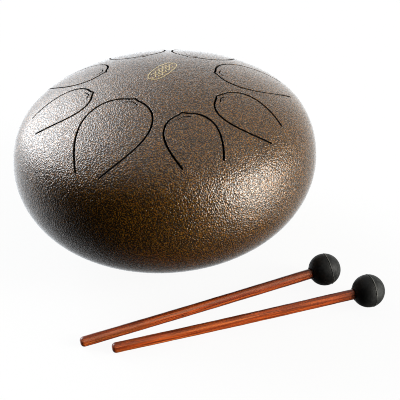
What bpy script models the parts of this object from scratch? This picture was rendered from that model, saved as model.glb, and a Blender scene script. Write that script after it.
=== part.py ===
"""Eight-tongue steel tongue drum (hand drum of the handpan family) with its pair of mallets.

The drum is two steel bowls welded rim to rim. Eight petal-shaped tongues are cut in the
upper bowl; the lower bowl has a round sound port and stands on four screwed-on rubber
feet. Two mallets, each a hardwood stick in a rubber ball, lie in front of the drum.

Frame: metres, +Z up, ground at z = 0. The origin is the middle of the set's footprint.
The player's side is -Y, and the mallets lie there.
"""
import math

import bmesh
import bpy
from mathutils import Matrix, Vector

# ------------------------------------------------------------------ drum dimensions
DRUM_DIAMETER = 0.254          # ten-inch drum, over the equator
DRUM_R = DRUM_DIAMETER / 2     # also the unit of the bowl and tongue outlines
SHEET = 0.0015                 # wall of both bowls
EQUATOR_HEIGHT = 0.640 * DRUM_R  # weld plane above the ground

# A bowl is the envelope of its tangent planes. Where the outward normal rises by an angle
# e, the plane lies at DRUM_R * (1 - a - b - c + a cos 2e + b cos 4e + c cos 6e).
UPPER_BOWL = (0.2106, -0.0285, 0.0015)  # a, b, c
LOWER_BOWL = (0.1937, -0.0203, 0.0036)
BOWL_SEGMENTS = 48             # facets round the bowls
BOWL_RINGS = 10                # rings from rim to crown
GRADING_SAMPLES = 400          # integration steps used to space the rings
PORT_R = 0.025                 # sound port in the lower bowl

# Equator joint: both rims are chamfered on the outside to a narrow V, which the weld fills.
RIM_GAP = 0.0003               # between the two root faces
GROOVE_HALF = 0.0009           # half width of the V at the outer skin
GROOVE_DEPTH = 0.0011
WELD_DEPTH = 0.00075
WELD_CLEARANCE = 0.0003        # square to the faces of the V

# ------------------------------------------------------------------ tongue dimensions
# Plan view: axis angle (degrees from +X), tip radius, root radius, widest half-width,
# the radius where that lies, half-width at the root. Lengths in units of DRUM_R.
TONGUES = (
    (239.8, 0.296, 0.869, 0.226, 0.547, 0.081),
    (287.8, 0.431, 0.802, 0.168, 0.625, 0.128),
    (327.6, 0.413, 0.836, 0.168, 0.596, 0.087),
    (11.6, 0.354, 0.828, 0.193, 0.578, 0.114),
    (61.5, 0.386, 0.830, 0.210, 0.590, 0.115),
    (106.5, 0.402, 0.815, 0.190, 0.585, 0.105),
    (153.5, 0.396, 0.826, 0.163, 0.573, 0.055),
    (192.5, 0.429, 0.825, 0.159, 0.609, 0.106),
)
SLOT_WIDTH = 0.0014            # cut round each tongue
CUSP = 0.015                   # small point on each tip, units of DRUM_R
CUSP_HALF = 0.045              # its half-width, units of DRUM_R
TIP_POWER = 2.12               # superellipse power of the rounded tip
TIP_STATIONS = (0.0, 3.5, 8.0, 15.0, 24.0, 35.0, 48.0, 62.0, 76.0, 90.0)  # degrees
LEG_POWER = 1.80               # how the legs draw in towards the root
LEG_STEPS = 4

# Fine chevron slit behind each tip: cut width, then its plan in units of DRUM_R
SLIT_WIDTH = 0.0008
SLIT_SETBACK = 0.034
SLIT_RISE = 0.016
SLIT_HALF = 0.040

CUT_LOW, CUT_HIGH = 0.020, 0.090  # heights of the cutting walls over the equator

# ------------------------------------------------------------------ foot dimensions
FOOT_CIRCLE = 0.039            # radius of the circle the feet stand on
FOOT_AZIMUTHS = (("front_right", -45), ("back_right", 45),
                 ("back_left", 135), ("front_left", 225))

# Depths below run along the foot's axis, positive outwards from the bowl's outer skin.
FOOT_TOP_R = 0.0080
FOOT_BEND_R = FOOT_TOP_R - 0.0003  # where the side's taper changes
FOOT_BEND = 0.0030
FOOT_END_R = 0.0074
FOOT_END = 0.0105              # before the sole is trimmed level with the ground
FOOT_GAP = 0.00035             # between foot and bowl
FOOT_RECESS_R = 0.0047
FOOT_RECESS_FLOOR = 0.0040     # rubber under the screw head
GROUND_BLOCK = (0.03, 0.03, 0.02)  # trims a sole

SCREW_R = 0.0020               # M4
SHANK_R = SCREW_R - 0.00005
TAIL_CHAMFER = (0.0005, 0.0006)  # radial, axial
TAIL_PAST_NUT = 0.0016
CLEAR_R = 0.0023
HEAD_R = 0.0039
HEAD_H = 0.0021
HEAD_ROUNDING = ((1, 0.45), (0.86, 0.85), (0.55, 1))  # parts of HEAD_R, HEAD_H
CROSS_LENGTH = 0.0046          # arms of the recess in the screw head
CROSS_WIDTH = 0.0010
CROSS_CUT_H = 0.004
CROSS_CUT_LIFT = 0.0008        # cutter's middle above the head
WASHER_R = 0.0045
WASHER_H = 0.0008
NUT_FLATS = 0.0070
NUT_H = 0.0032
SEAT_GAP = 0.0003

HEAD_SEAT = FOOT_RECESS_FLOOR + SEAT_GAP
HEAD_TOP = HEAD_SEAT + HEAD_H
WASHER_FACE = -SHEET - SEAT_GAP
WASHER_BACK = WASHER_FACE - WASHER_H
NUT_FACE = WASHER_BACK - SEAT_GAP
SCREW_TAIL = NUT_FACE - NUT_H - TAIL_PAST_NUT

# ------------------------------------------------------------------ mallet dimensions
BALL_R = 0.01312               # rubber ball
BALL_STEPS = 12                # from its pole to the bore
STICK_LENGTH = 0.2057          # from the butt end to the ball's centre
BUTT_R = 0.00405
NECK_R = 0.00415
BUTT_ROUND = 0.0032            # run of the rounded butt
BUTT_STATIONS = (20, 42, 66, 90)  # degrees round the butt's curve
BUTT_POWER = 0.8               # below 1 is blunter than an ellipse
STICK_STEPS = 3
TENON_END = 0.0040             # stick's end past the ball's centre
TENON_CHAMFER = 0.0006
BORE_GAP = 0.0003
# name, x and y of the ball from the drum's axis, azimuth from butt to ball (degrees)
MALLETS = (
    ("mallet_a", 0.9926 * DRUM_R, -0.6431 * DRUM_R, 18.25),
    ("mallet_b", 1.2326 * DRUM_R, -0.8785 * DRUM_R, 12.01),
)


# ------------------------------------------------------------------ materials


def material(name, color, roughness, metallic=0.0, coat=0.0):
    made = bpy.data.materials.new(name)
    made.use_nodes = True
    inputs = made.node_tree.nodes["Principled BSDF"].inputs
    inputs["Base Color"].default_value = (*color, 1.0)
    inputs["Roughness"].default_value = roughness
    inputs["Metallic"].default_value = metallic
    inputs["Coat Weight"].default_value = coat
    made.diffuse_color = (*color, 1.0)
    return made


def make_materials():
    return {
        "upper bowl": material("bronze_hammer_paint", color=(0.085, 0.050, 0.026),
                               roughness=0.30, metallic=0.75, coat=0.4),
        "lower bowl": material("bronze_hammer_paint_lower", color=(0.080, 0.047, 0.025),
                               roughness=0.32, metallic=0.75, coat=0.4),
        "weld": material("ground_weld", color=(0.090, 0.055, 0.030),
                         roughness=0.35, metallic=0.8),
        "foot": material("foot_rubber", color=(0.018, 0.018, 0.019), roughness=0.75),
        "ball": material("mallet_rubber", color=(0.014, 0.014, 0.015), roughness=0.70),
        "zinc": material("zinc_steel", color=(0.60, 0.61, 0.62),
                         roughness=0.30, metallic=1.0),
        "nut": material("zinc_steel_nut", color=(0.52, 0.53, 0.54),
                        roughness=0.36, metallic=1.0),
        "stick": material("red_hardwood", color=(0.235, 0.055, 0.020),
                          roughness=0.38, coat=0.3),
    }


# ------------------------------------------------------------------ helpers


def clear_scene():
    for obj in list(bpy.data.objects):
        bpy.data.objects.remove(obj, do_unlink=True)


def add_object(name, body, surface, parent, matrix=None, smooth_angle=40):
    """Turn a bmesh into an object; the bmesh is freed."""
    bmesh.ops.recalc_face_normals(body, faces=body.faces)
    mesh = bpy.data.meshes.new(name)
    body.to_mesh(mesh)
    body.free()
    mesh.shade_smooth()
    mesh.set_sharp_from_angle(angle=math.radians(smooth_angle))
    if surface is not None:
        mesh.materials.append(surface)
    obj = bpy.data.objects.new(name, mesh)
    bpy.context.scene.collection.objects.link(obj)
    obj.parent = parent
    if matrix is not None:
        obj.matrix_local = matrix
    return obj


def add_empty(name, location):
    empty = bpy.data.objects.new(name, None)
    empty.empty_display_size = 0.02
    bpy.context.scene.collection.objects.link(empty)
    empty.location = location
    return empty


def add_cutter(name, body, parent, matrix=None):
    obj = add_object(name, body, None, parent, matrix)
    obj.hide_render = True
    obj.display_type = 'WIRE'
    return obj


def cut(obj, tool, name=None, use_self=False):
    boolean = obj.modifiers.new(name or "cut_" + tool.name, 'BOOLEAN')
    boolean.operation = 'DIFFERENCE'
    boolean.solver = 'EXACT'
    boolean.object = tool
    boolean.use_self = use_self


def turned(profile, segments, closed=False):
    """A body turned about +Z from an (r, z) chain that ends on the axis or closes on itself."""
    body = bmesh.new()
    verts = [body.verts.new((r, 0.0, z)) for r, z in profile]
    edges = [body.edges.new(pair) for pair in zip(verts, verts[1:])]
    if closed:
        edges.append(body.edges.new((verts[-1], verts[0])))
    bmesh.ops.spin(body, geom=verts + edges, cent=(0, 0, 0), axis=(0, 0, 1),
                   dvec=(0, 0, 0), angle=2 * math.pi, steps=segments, use_duplicate=False)
    bmesh.ops.remove_doubles(body, verts=body.verts, dist=1e-6)
    return body


def clearance_pin(low, high):
    return turned([(0, high), (CLEAR_R, high), (CLEAR_R, low), (0, low)], segments=16)


def add_box(body, size, z=0.0):
    verts = bmesh.ops.create_cube(body, size=1.0)["verts"]
    bmesh.ops.scale(body, vec=size, verts=verts)
    bmesh.ops.translate(body, vec=(0, 0, z), verts=verts)


def azimuth_vector(angle):
    return Vector((math.cos(angle), math.sin(angle), 0))


# ------------------------------------------------------------------ bowl shape


def bowl_point(shape, rise, inset=0.0):
    """(radius, height over the equator) of a bowl where its outward normal rises by rise."""
    cos2, cos4, cos6 = shape
    plane = (1 - cos2 - cos4 - cos6 + cos2 * math.cos(2 * rise) + cos4 * math.cos(4 * rise)
             + cos6 * math.cos(6 * rise)) * DRUM_R - inset
    change = -(2 * cos2 * math.sin(2 * rise) + 4 * cos4 * math.sin(4 * rise)
               + 6 * cos6 * math.sin(6 * rise)) * DRUM_R
    return (plane * math.cos(rise) - change * math.sin(rise),
            plane * math.sin(rise) + change * math.cos(rise))


def bend_radius(shape, rise):
    """Radius of curvature of the bowl's section."""
    cos2, cos4, cos6 = shape
    return DRUM_R * (1 - cos2 - cos4 - cos6 - 3 * cos2 * math.cos(2 * rise)
                     - 15 * cos4 * math.cos(4 * rise) - 35 * cos6 * math.cos(6 * rise))


def rise_where(shape, test, inset=0.0):
    """Rise at which test(radius, height) first turns true, going up from the equator."""
    low, high = 0.0, math.pi / 2
    for _ in range(60):
        middle = (low + high) / 2
        if test(*bowl_point(shape, middle, inset)):
            high = middle
        else:
            low = middle
    return high


def graded_rises(shape, start, end):
    """Ring positions, spaced so that every facet departs equally from the curve."""
    span = end - start
    total = 0.0
    table = [(total, start)]
    for i in range(GRADING_SAMPLES):
        middle = start + span * (i + 0.5) / GRADING_SAMPLES
        total += math.sqrt(bend_radius(shape, middle))
        table.append((total, start + span * (i + 1) / GRADING_SAMPLES))
    rises = []
    for k in range(BOWL_RINGS + 1):
        want = total * k / BOWL_RINGS
        for (sum_a, rise_a), (sum_b, rise_b) in zip(table, table[1:]):
            if sum_a <= want <= sum_b + 1e-12:
                rises.append(rise_a + (rise_b - rise_a) * (want - sum_a) / (sum_b - sum_a))
                break
    return rises


def bowl_section(shape, port_radius=0.0):
    """Section of one bowl with its crown up: outer skin, chamfered rim, inner skin."""
    def reaches_port(r, z):
        return r <= port_radius

    rim = rise_where(shape, lambda r, z: z >= GROOVE_HALF)
    top = rise_where(shape, reaches_port) if port_radius else math.pi / 2
    rises = graded_rises(shape, rim, top)
    outer = [bowl_point(shape, rise) for rise in rises]
    inner = [bowl_point(shape, rise, SHEET) for rise in rises]
    if port_radius:                         # the port's edge is cut straight through
        inner[-1] = bowl_point(shape, rise_where(shape, reaches_port, SHEET), SHEET)
    outer[-1] = (port_radius, outer[-1][1])
    inner[-1] = (port_radius, inner[-1][1])
    root_face = [(DRUM_R - GROOVE_DEPTH, RIM_GAP / 2), (DRUM_R - SHEET, RIM_GAP / 2)]
    return outer[::-1] + root_face + inner


# ------------------------------------------------------------------ tongue outline


def place(points, angle):
    """Plan points, (along, across) a tongue's axis in units of DRUM_R, turned to its angle."""
    turn = math.radians(angle)
    return [Vector((DRUM_R * (along * math.cos(turn) - across * math.sin(turn)),
                    DRUM_R * (along * math.sin(turn) + across * math.cos(turn))))
            for along, across in points]


def tongue_path(angle, tip, root, half, wide, root_half):
    """Plan centre line of the cut: up one leg, round the cusped tip, down the other leg."""
    flank = []
    for degrees in TIP_STATIONS:
        t = math.radians(degrees)
        across = half * math.sin(t) ** (2 / TIP_POWER)
        along = wide - (wide - tip - CUSP) * math.cos(t) ** (2 / TIP_POWER)
        along -= CUSP * max(0.0, 1 - across / CUSP_HALF) ** 2
        flank.append((along, across))
    for k in range(1, LEG_STEPS + 1):
        part = k / LEG_STEPS
        flank.append((wide + (root - wide) * part,
                      root_half + (half - root_half) * (1 - part ** LEG_POWER)))
    mirrored = [(along, -across) for along, across in flank[:0:-1]]
    return place(mirrored + flank, angle)


def slit_path(angle, tip):
    apex = tip + SLIT_SETBACK
    ends = apex + SLIT_RISE
    return place([(ends, -SLIT_HALF), (apex, 0.0), (ends, SLIT_HALF)], angle)


def add_cutting_wall(body, path, width):
    """A vertical wall of even width standing on a plan path, one closed body."""
    headings = [(end - start).normalized() for start, end in zip(path, path[1:])]
    rows = []
    for point, before, after in zip(path, headings[:1] + headings, headings + headings[-1:]):
        tangent = (before + after).normalized()
        stretch = 1.0 / max(0.5, tangent.dot(after))   # mitre, limited at sharp corners
        offset = Vector((-tangent.y, tangent.x)) * (width / 2 * stretch)
        left, right = point + offset, point - offset
        rows.append([body.verts.new((corner.x, corner.y, z)) for corner, z in (
            (left, CUT_LOW), (right, CUT_LOW), (right, CUT_HIGH), (left, CUT_HIGH))])
    for row, following in zip(rows, rows[1:]):
        for k in range(4):
            n = (k + 1) % 4
            body.faces.new((row[k], row[n], following[n], following[k]))
    body.faces.new(rows[0][::-1])
    body.faces.new(rows[-1])


# ------------------------------------------------------------------ bowls and weld


def build_upper_bowl(drum, surface):
    upper = add_object("top_shell", turned(bowl_section(UPPER_BOWL), BOWL_SEGMENTS),
                       surface, drum)
    slots = bmesh.new()
    for tongue in TONGUES:
        angle, tip = tongue[:2]
        add_cutting_wall(slots, tongue_path(*tongue), SLOT_WIDTH)
        add_cutting_wall(slots, slit_path(angle, tip), SLIT_WIDTH)
    cut(upper, add_cutter("tongue_slots", slots, drum))


def build_lower_bowl(drum, surface):
    body = turned(bowl_section(LOWER_BOWL, PORT_R), BOWL_SEGMENTS, closed=True)
    crown_down = Matrix.Rotation(math.pi, 4, 'X')
    return add_object("bottom_shell", body, surface, drum, crown_down)


def build_weld(drum, surface):
    """Bead in the V, its outer face at the drum's full radius."""
    slope = (GROOVE_HALF - RIM_GAP / 2) / GROOVE_DEPTH
    clearance = WELD_CLEARANCE * math.sqrt(1 + slope * slope)   # measured along Z
    outer_half = GROOVE_HALF - clearance
    inner_half = GROOVE_HALF - slope * WELD_DEPTH - clearance
    inner_r = DRUM_R - WELD_DEPTH
    bead = [(DRUM_R, -outer_half), (DRUM_R, outer_half),
            (inner_r, inner_half), (inner_r, -inner_half)]
    add_object("equator_weld", turned(bead, BOWL_SEGMENTS, closed=True), surface, drum)


# ------------------------------------------------------------------ feet


def foot_frame(azimuth):
    """Frame on the lower bowl's outer skin under a foot, its +Z pointing out of the bowl."""
    rise = rise_where(LOWER_BOWL, lambda r, z: r <= FOOT_CIRCLE)
    r, z = bowl_point(LOWER_BOWL, rise)
    radial = azimuth_vector(math.radians(azimuth))
    out = radial * math.cos(rise) + Vector((0, 0, -math.sin(rise)))
    across = Vector((-radial.y, radial.x, 0))
    frame = Matrix((across, out.cross(across), out)).transposed().to_4x4()
    frame.translation = Vector((r * radial.x, r * radial.y, -z))
    return frame


def build_rubber_foot(label, frame, drum, surface):
    profile = [(CLEAR_R, FOOT_GAP), (FOOT_TOP_R, FOOT_GAP), (FOOT_BEND_R, FOOT_BEND),
               (FOOT_END_R, FOOT_END), (FOOT_RECESS_R, FOOT_END),
               (FOOT_RECESS_R, FOOT_RECESS_FLOOR), (CLEAR_R, FOOT_RECESS_FLOOR)]
    foot = add_object("foot_" + label, turned(profile, segments=24, closed=True),
                      surface, drum, frame)
    ground = bmesh.new()
    add_box(ground, GROUND_BLOCK)
    below = Matrix.Translation((frame.translation.x, frame.translation.y,
                                -EQUATOR_HEIGHT - GROUND_BLOCK[2] / 2))
    cut(foot, add_cutter("ground_under_" + label, ground, drum, below))


def build_screw(label, frame, drum, surface):
    chamfer_r, chamfer_z = TAIL_CHAMFER
    profile = [(0, SCREW_TAIL), (SHANK_R - chamfer_r, SCREW_TAIL),
               (SHANK_R, SCREW_TAIL + chamfer_z), (SHANK_R, HEAD_SEAT), (HEAD_R, HEAD_SEAT)]
    profile += [(HEAD_R * part_r, HEAD_SEAT + HEAD_H * part_h)
                for part_r, part_h in HEAD_ROUNDING]
    profile.append((0, HEAD_TOP))
    screw = add_object("foot_screw_" + label, turned(profile, segments=16),
                       surface, drum, frame)
    cross = bmesh.new()
    for size_x, size_y in ((CROSS_LENGTH, CROSS_WIDTH), (CROSS_WIDTH, CROSS_LENGTH)):
        add_box(cross, (size_x, size_y, CROSS_CUT_H), z=HEAD_TOP + CROSS_CUT_LIFT)
    # the two arms overlap, so the cutter intersects itself
    cut(screw, add_cutter("cross_recess_" + label, cross, drum, frame),
        name="cross_recess", use_self=True)


def build_washer(label, frame, drum, surface):
    profile = [(CLEAR_R, WASHER_FACE), (WASHER_R, WASHER_FACE),
               (WASHER_R, WASHER_BACK), (CLEAR_R, WASHER_BACK)]
    add_object("foot_washer_" + label, turned(profile, segments=20, closed=True),
               surface, drum, frame)


def build_nut(label, frame, drum, surface):
    corner_r = NUT_FLATS / math.sqrt(3)
    body = bmesh.new()
    bmesh.ops.create_cone(body, cap_ends=True, segments=6, radius1=corner_r,
                          radius2=corner_r, depth=NUT_H)
    bmesh.ops.translate(body, vec=(0, 0, NUT_FACE - NUT_H / 2), verts=body.verts)
    nut = add_object("foot_nut_" + label, body, surface, drum, frame, smooth_angle=20)
    bore = clearance_pin(low=-0.012, high=0.001)
    cut(nut, add_cutter("nut_bore_" + label, bore, drum, frame))


def build_foot(label, azimuth, drum, lower, materials):
    frame = foot_frame(azimuth)
    hole = clearance_pin(low=-0.006, high=0.004)
    cut(lower, add_cutter("screw_hole_" + label, hole, drum, frame))
    build_rubber_foot(label, frame, drum, materials["foot"])
    build_screw(label, frame, drum, materials["zinc"])
    build_washer(label, frame, drum, materials["zinc"])
    build_nut(label, frame, drum, materials["nut"])


# ------------------------------------------------------------------ mallets
# In a mallet's frame the ball's centre is the origin and the stick runs back along -Z.


def mallet_tilt():
    """Upward slope of the stick when the ball and the butt both rest on the ground."""
    reach = STICK_LENGTH - BUTT_ROUND
    return math.asin(BALL_R / math.hypot(reach, BUTT_R)) - math.atan2(BUTT_R, reach)


def stick_radius(z):
    """Straight taper from butt to neck, even from the ball's centre on."""
    return BUTT_R + (NECK_R - BUTT_R) * min(1.0, (z + STICK_LENGTH) / STICK_LENGTH)


def build_stick(label, pivot, turn, surface):
    profile = [(0.0, -STICK_LENGTH)]
    for degrees in BUTT_STATIONS:
        t = math.radians(degrees)
        profile.append((BUTT_R * math.sin(t) ** BUTT_POWER,
                        -STICK_LENGTH + BUTT_ROUND * (1 - math.cos(t))))
    start = -STICK_LENGTH + BUTT_ROUND
    run = TENON_END - TENON_CHAMFER - start
    for k in range(1, STICK_STEPS + 1):
        z = start + run * k / STICK_STEPS
        profile.append((stick_radius(z), z))
    profile += [(stick_radius(TENON_END) - TENON_CHAMFER, TENON_END), (0.0, TENON_END)]
    add_object(label + "_stick", turned(profile, segments=20), surface, pivot, turn)


def build_ball(label, pivot, turn, surface):
    """Ball with a blind bore for the stick."""
    bore = stick_radius(-BALL_R) + BORE_GAP
    floor = TENON_END + BORE_GAP
    sweep = math.pi - math.asin(bore / BALL_R)
    profile = [(0.0, BALL_R)]
    for k in range(1, BALL_STEPS + 1):
        t = sweep * k / BALL_STEPS
        profile.append((BALL_R * math.sin(t), BALL_R * math.cos(t)))
    profile += [(bore, floor), (0.0, floor)]
    add_object(label + "_head", turned(profile, segments=24), surface, pivot, turn)


def build_mallet(label, x, y, azimuth, axis, materials):
    pivot = add_empty(label + "_rest", (axis.x + x, axis.y + y, BALL_R))
    tilt = mallet_tilt()
    along = azimuth_vector(math.radians(azimuth)) * math.cos(tilt)
    along.z = math.sin(tilt)
    turn = along.to_track_quat('Z', 'Y').to_matrix().to_4x4()
    build_stick(label, pivot, turn, materials["stick"])
    build_ball(label, pivot, turn, materials["ball"])


# ------------------------------------------------------------------ assembly


def drum_axis_location():
    """Foot of the drum's axis, with the middle of the set's footprint at the origin."""
    reach = (STICK_LENGTH - BUTT_ROUND) * math.cos(mallet_tilt())
    right, front = DRUM_R, -DRUM_R
    for _, x, y, azimuth in MALLETS:
        turn = math.radians(azimuth)
        right = max(right, x + BALL_R)
        front = min(front, y - reach * math.sin(turn) - BUTT_R * math.cos(turn))
    return Vector(((DRUM_R - right) / 2, -(DRUM_R + front) / 2, 0.0))


def main():
    clear_scene()
    materials = make_materials()
    axis = drum_axis_location()
    drum = add_empty("drum_axis", (axis.x, axis.y, EQUATOR_HEIGHT))
    build_upper_bowl(drum, materials["upper bowl"])
    lower = build_lower_bowl(drum, materials["lower bowl"])
    build_weld(drum, materials["weld"])
    for label, azimuth in FOOT_AZIMUTHS:
        build_foot(label, azimuth, drum, lower, materials)
    for label, x, y, azimuth in MALLETS:
        build_mallet(label, x, y, azimuth, axis, materials)
    bpy.context.view_layer.update()


main()
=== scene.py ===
# A steel tongue drum with its two mallets. The drum is two sheet-metal bowls joined at the
# equator, with eight tongues cut in the upper bowl and a port in the lower one. It stands on
# four rubber feet on the ground at z = 0, its axis along Z. The mallets lie on the ground.
# The camera looks from the front, -Y, with +X on the right. Lengths are in metres.
import math
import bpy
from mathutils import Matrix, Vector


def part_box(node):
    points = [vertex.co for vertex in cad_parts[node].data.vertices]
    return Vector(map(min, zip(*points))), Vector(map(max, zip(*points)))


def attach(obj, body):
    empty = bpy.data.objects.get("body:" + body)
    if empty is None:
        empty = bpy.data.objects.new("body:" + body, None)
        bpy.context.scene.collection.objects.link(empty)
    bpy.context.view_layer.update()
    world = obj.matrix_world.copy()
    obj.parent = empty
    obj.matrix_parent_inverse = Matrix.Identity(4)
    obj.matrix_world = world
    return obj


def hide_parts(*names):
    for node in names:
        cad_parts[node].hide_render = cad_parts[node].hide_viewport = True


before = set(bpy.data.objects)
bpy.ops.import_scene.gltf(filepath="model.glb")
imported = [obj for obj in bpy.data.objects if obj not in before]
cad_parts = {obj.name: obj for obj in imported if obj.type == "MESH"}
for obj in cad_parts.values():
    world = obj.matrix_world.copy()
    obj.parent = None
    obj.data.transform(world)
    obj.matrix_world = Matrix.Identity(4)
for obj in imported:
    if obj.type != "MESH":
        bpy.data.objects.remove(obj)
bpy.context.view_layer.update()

from types import SimpleNamespace

import bmesh
import bpy
import numpy as np
from mathutils import Matrix, Vector, geometry

# =====================================================================================
# Sizes
# =====================================================================================
TOP_LOW, TOP_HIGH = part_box("top_shell")
WELD_LOW, WELD_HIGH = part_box("equator_weld")
DRUM_R = (TOP_HIGH.x - TOP_LOW.x) / 2
CENTRE = Vector(((TOP_HIGH.x + TOP_LOW.x) / 2,
                 (TOP_HIGH.y + TOP_LOW.y) / 2,
                 (WELD_HIGH.z + WELD_LOW.z) / 2))       # on the axis, at the equator
SHEET = 0.0015

# cosine coefficients of each bowl's support function, in drum radii
UPPER_BOWL = (0.2106, -0.0285, 0.0015)
LOWER_BOWL = (0.1937, -0.0203, 0.0036)

# tongues: azimuth in degrees, then in drum radii: tip and root distance from the axis,
# greatest half width, distance of the widest station, half width at the root
TONGUES = (
    (239.8, 0.296, 0.869, 0.226, 0.547, 0.081),
    (287.8, 0.431, 0.802, 0.168, 0.625, 0.128),
    (327.6, 0.413, 0.836, 0.168, 0.596, 0.087),
    (11.6, 0.354, 0.828, 0.193, 0.578, 0.114),
    (61.5, 0.386, 0.830, 0.210, 0.590, 0.115),
    (106.5, 0.402, 0.815, 0.190, 0.585, 0.105),
    (153.5, 0.396, 0.826, 0.163, 0.573, 0.055),
    (192.5, 0.429, 0.825, 0.159, 0.609, 0.106),
)
SHORT_LEG_TONGUE, SHORT_LEG_POINTS = 2, 5     # this tongue's second leg loses so many points
SLOT_WIDTH, SLIT_WIDTH = 0.0017, 0.0009
CUSP_DEPTH, CUSP_HALF = 0.015, 0.045          # inward point at a tongue's tip, drum radii
TIP_POWER, LEG_POWER = 2.12, 1.80             # fullness of the tip's arch and of the legs
SLIT_SETBACK, SLIT_RISE, SLIT_HALF = 0.034, 0.016, 0.040    # small V behind a tip, drum radii

# lip of a cut: distance from the wall, drop of the skin, tilt of the normal in degrees
SLOT_LIP = ((0.0, 0.00017, 66), (0.00007, 0.00006, 40), (0.00021, 0.0, 0))
SLIT_LIP = ((0.0, 0.00014, 60), (0.00018, 0.0, 0))
PORT_LIP = ((0.0, 0.00045, 78), (0.00012, 0.00022, 52), (0.00032, 0.00008, 26), (0.0006, 0.0, 0))
HOLE_LIP = ((0.0, 0.0001, 60), (0.00015, 0.0, 0))

PORT_R = 0.025
FOOT_CIRCLE_R = 0.039
FEET = (("front_right", -45), ("back_right", 45), ("back_left", 135), ("front_left", 225))

# fasteners, along a foot's own axis: 0 is the bowl's skin, + is out of the bowl
SCREW_HOLE_R = 0.0023
GAP = 0.0003                                  # play between neighbouring pieces
FOOT_SEAT = 0.0040                            # floor of the foot's screw recess
SCREW_SEAT = FOOT_SEAT + GAP
WASHER_TOP, WASHER_THICK = -(SHEET + GAP), 0.0008
NUT_TOP, NUT_HEIGHT, NUT_HALF = WASHER_TOP - WASHER_THICK - GAP, 0.0032, 0.0035
SCREW_TAIL = NUT_TOP - NUT_HEIGHT - 0.0016

BALL_R, STICK_LENGTH, BUTT_R, NECK_R = 0.01312, 0.2057, 0.00405, 0.00415
TENON, BUTT_ROUND = 0.0040, 0.0032            # stick past the ball's middle, rounding of its end

# What tells the mallets apart. Angles in degrees: yaw on the ground, spin about the stick,
# swing of the mould axis off the stick. parting is in ball radii, bow is the stick's bend,
# the phases are in radians, the shifts move the texture. The two strengths set the painted
# shade and the painted highlight on the stick.
MALLETS = (
    SimpleNamespace(seed="a", yaw=18.25, spin=20, swing=-6, parting=0.21, bow=0.0005,
                    stick_phase=0.7, ball_phase=0.4,
                    rubber_shift=(0.11, 0.37, 0.23), wood_shift=(0.013, 0.027, 0.05),
                    painted_shade_strength=0.78, painted_highlight_strength=0.42),
    SimpleNamespace(seed="b", yaw=12.01, spin=205, swing=5, parting=0.107, bow=0.0006,
                    stick_phase=2.9, ball_phase=2.2,
                    rubber_shift=(0.71, 0.13, 0.59), wood_shift=(0.041, 0.009, 0.31),
                    painted_shade_strength=0.55, painted_highlight_strength=0.18),
)
SHADED_SIDE_WAY = Vector((-0.20, 0.50, 0.84))       # world direction of the side of the sticks that gets painted shade

EYE = Vector((0.21637, -5.53183, 3.28552))    # viewpoint from CENTRE, in drum radii
FOCAL_LENGTH, SENSOR_WIDTH = 86.7978, 36.0    # millimetres
PITCH_DOWN, ROLL = math.radians(33.56), math.radians(-2.70)


# =====================================================================================
# Node helpers
# =====================================================================================
class Nodes:
    """Small builder for node trees. Inputs are dicts from a socket's name or number."""

    def __init__(self, tree):
        self.tree = tree
        self.column = 0

    def put(self, node, values):
        """Link or set inputs. A node given as a value stands for its first output."""
        for key, value in values.items():
            if isinstance(value, bpy.types.Node):
                value = value.outputs[0]
            if isinstance(value, bpy.types.NodeSocket):
                self.tree.links.new(value, node.inputs[key])
            else:
                node.inputs[key].default_value = value

    def add(self, kind, inputs=None, **settings):
        node = self.tree.nodes.new(kind)
        node.location = (self.column, 0)
        self.column += 40
        for key, value in settings.items():
            setattr(node, key, value)
        self.put(node, inputs or {})
        return node

    def object_place(self):
        return self.add("ShaderNodeTexCoord").outputs["Object"]

    def attribute(self, name, output="Fac"):
        return self.add("ShaderNodeAttribute", attribute_name=name).outputs[output]

    def math(self, operation, first, second=0.0, *third):
        inputs = dict(enumerate((first, second, *third)))
        return self.add("ShaderNodeMath", inputs, operation=operation).outputs[0]

    def vector(self, operation, *values):
        node = self.add("ShaderNodeVectorMath", dict(enumerate(values)), operation=operation)
        return node.outputs["Value" if operation == "DOT_PRODUCT" else 0]

    def mix(self, factor, first, second, blend="MIX"):
        inputs = {0: factor, 6: first, 7: second}
        node = self.add("ShaderNodeMix", inputs, data_type="RGBA", blend_type=blend)
        return node.outputs[2]

    def mix_float(self, factor, first, second):
        inputs = {0: factor, 2: first, 3: second}
        return self.add("ShaderNodeMix", inputs, data_type="FLOAT").outputs[0]

    def grey(self, value):
        inputs = {"Red": value, "Green": value, "Blue": value}
        return self.add("ShaderNodeCombineColor", inputs).outputs[0]

    def remap(self, value, over, to=(0.0, 1.0)):
        """Smooth step of value over one range to another."""
        inputs = dict(enumerate((value, *over, *to)))
        node = self.add("ShaderNodeMapRange", inputs, interpolation_type="SMOOTHSTEP")
        return node.outputs[0]

    def noise(self, place, scale=1.0, detail=2.0, rough=0.5, distortion=0.0, colour=False):
        inputs = {"Vector": place, "Scale": scale, "Detail": detail, "Roughness": rough,
                  "Distortion": distortion}
        return self.add("ShaderNodeTexNoise", inputs).outputs[int(colour)]

    def stretch(self, place, scale=(1, 1, 1), shift=(0, 0, 0)):
        inputs = {"Vector": place, "Scale": scale, "Location": shift}
        return self.add("ShaderNodeMapping", inputs).outputs[0]

    def ramp(self, value, stops):
        """Colour ramp with stops (position, (red, green, blue))."""
        node = self.add("ShaderNodeValToRGB", {"Fac": value})
        elements = node.color_ramp.elements
        while len(elements) < len(stops):
            elements.new(0.5)
        for element, (position, colour) in zip(elements, stops):
            element.position = position
            element.color = (*colour, 1.0)
        return node.outputs[0]

    def bump(self, height, distance, strength=1.0, normal=None):
        inputs = {"Height": height, "Distance": distance, "Strength": strength}
        if normal is not None:
            inputs["Normal"] = normal
        return self.add("ShaderNodeBump", inputs).outputs[0]


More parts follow.
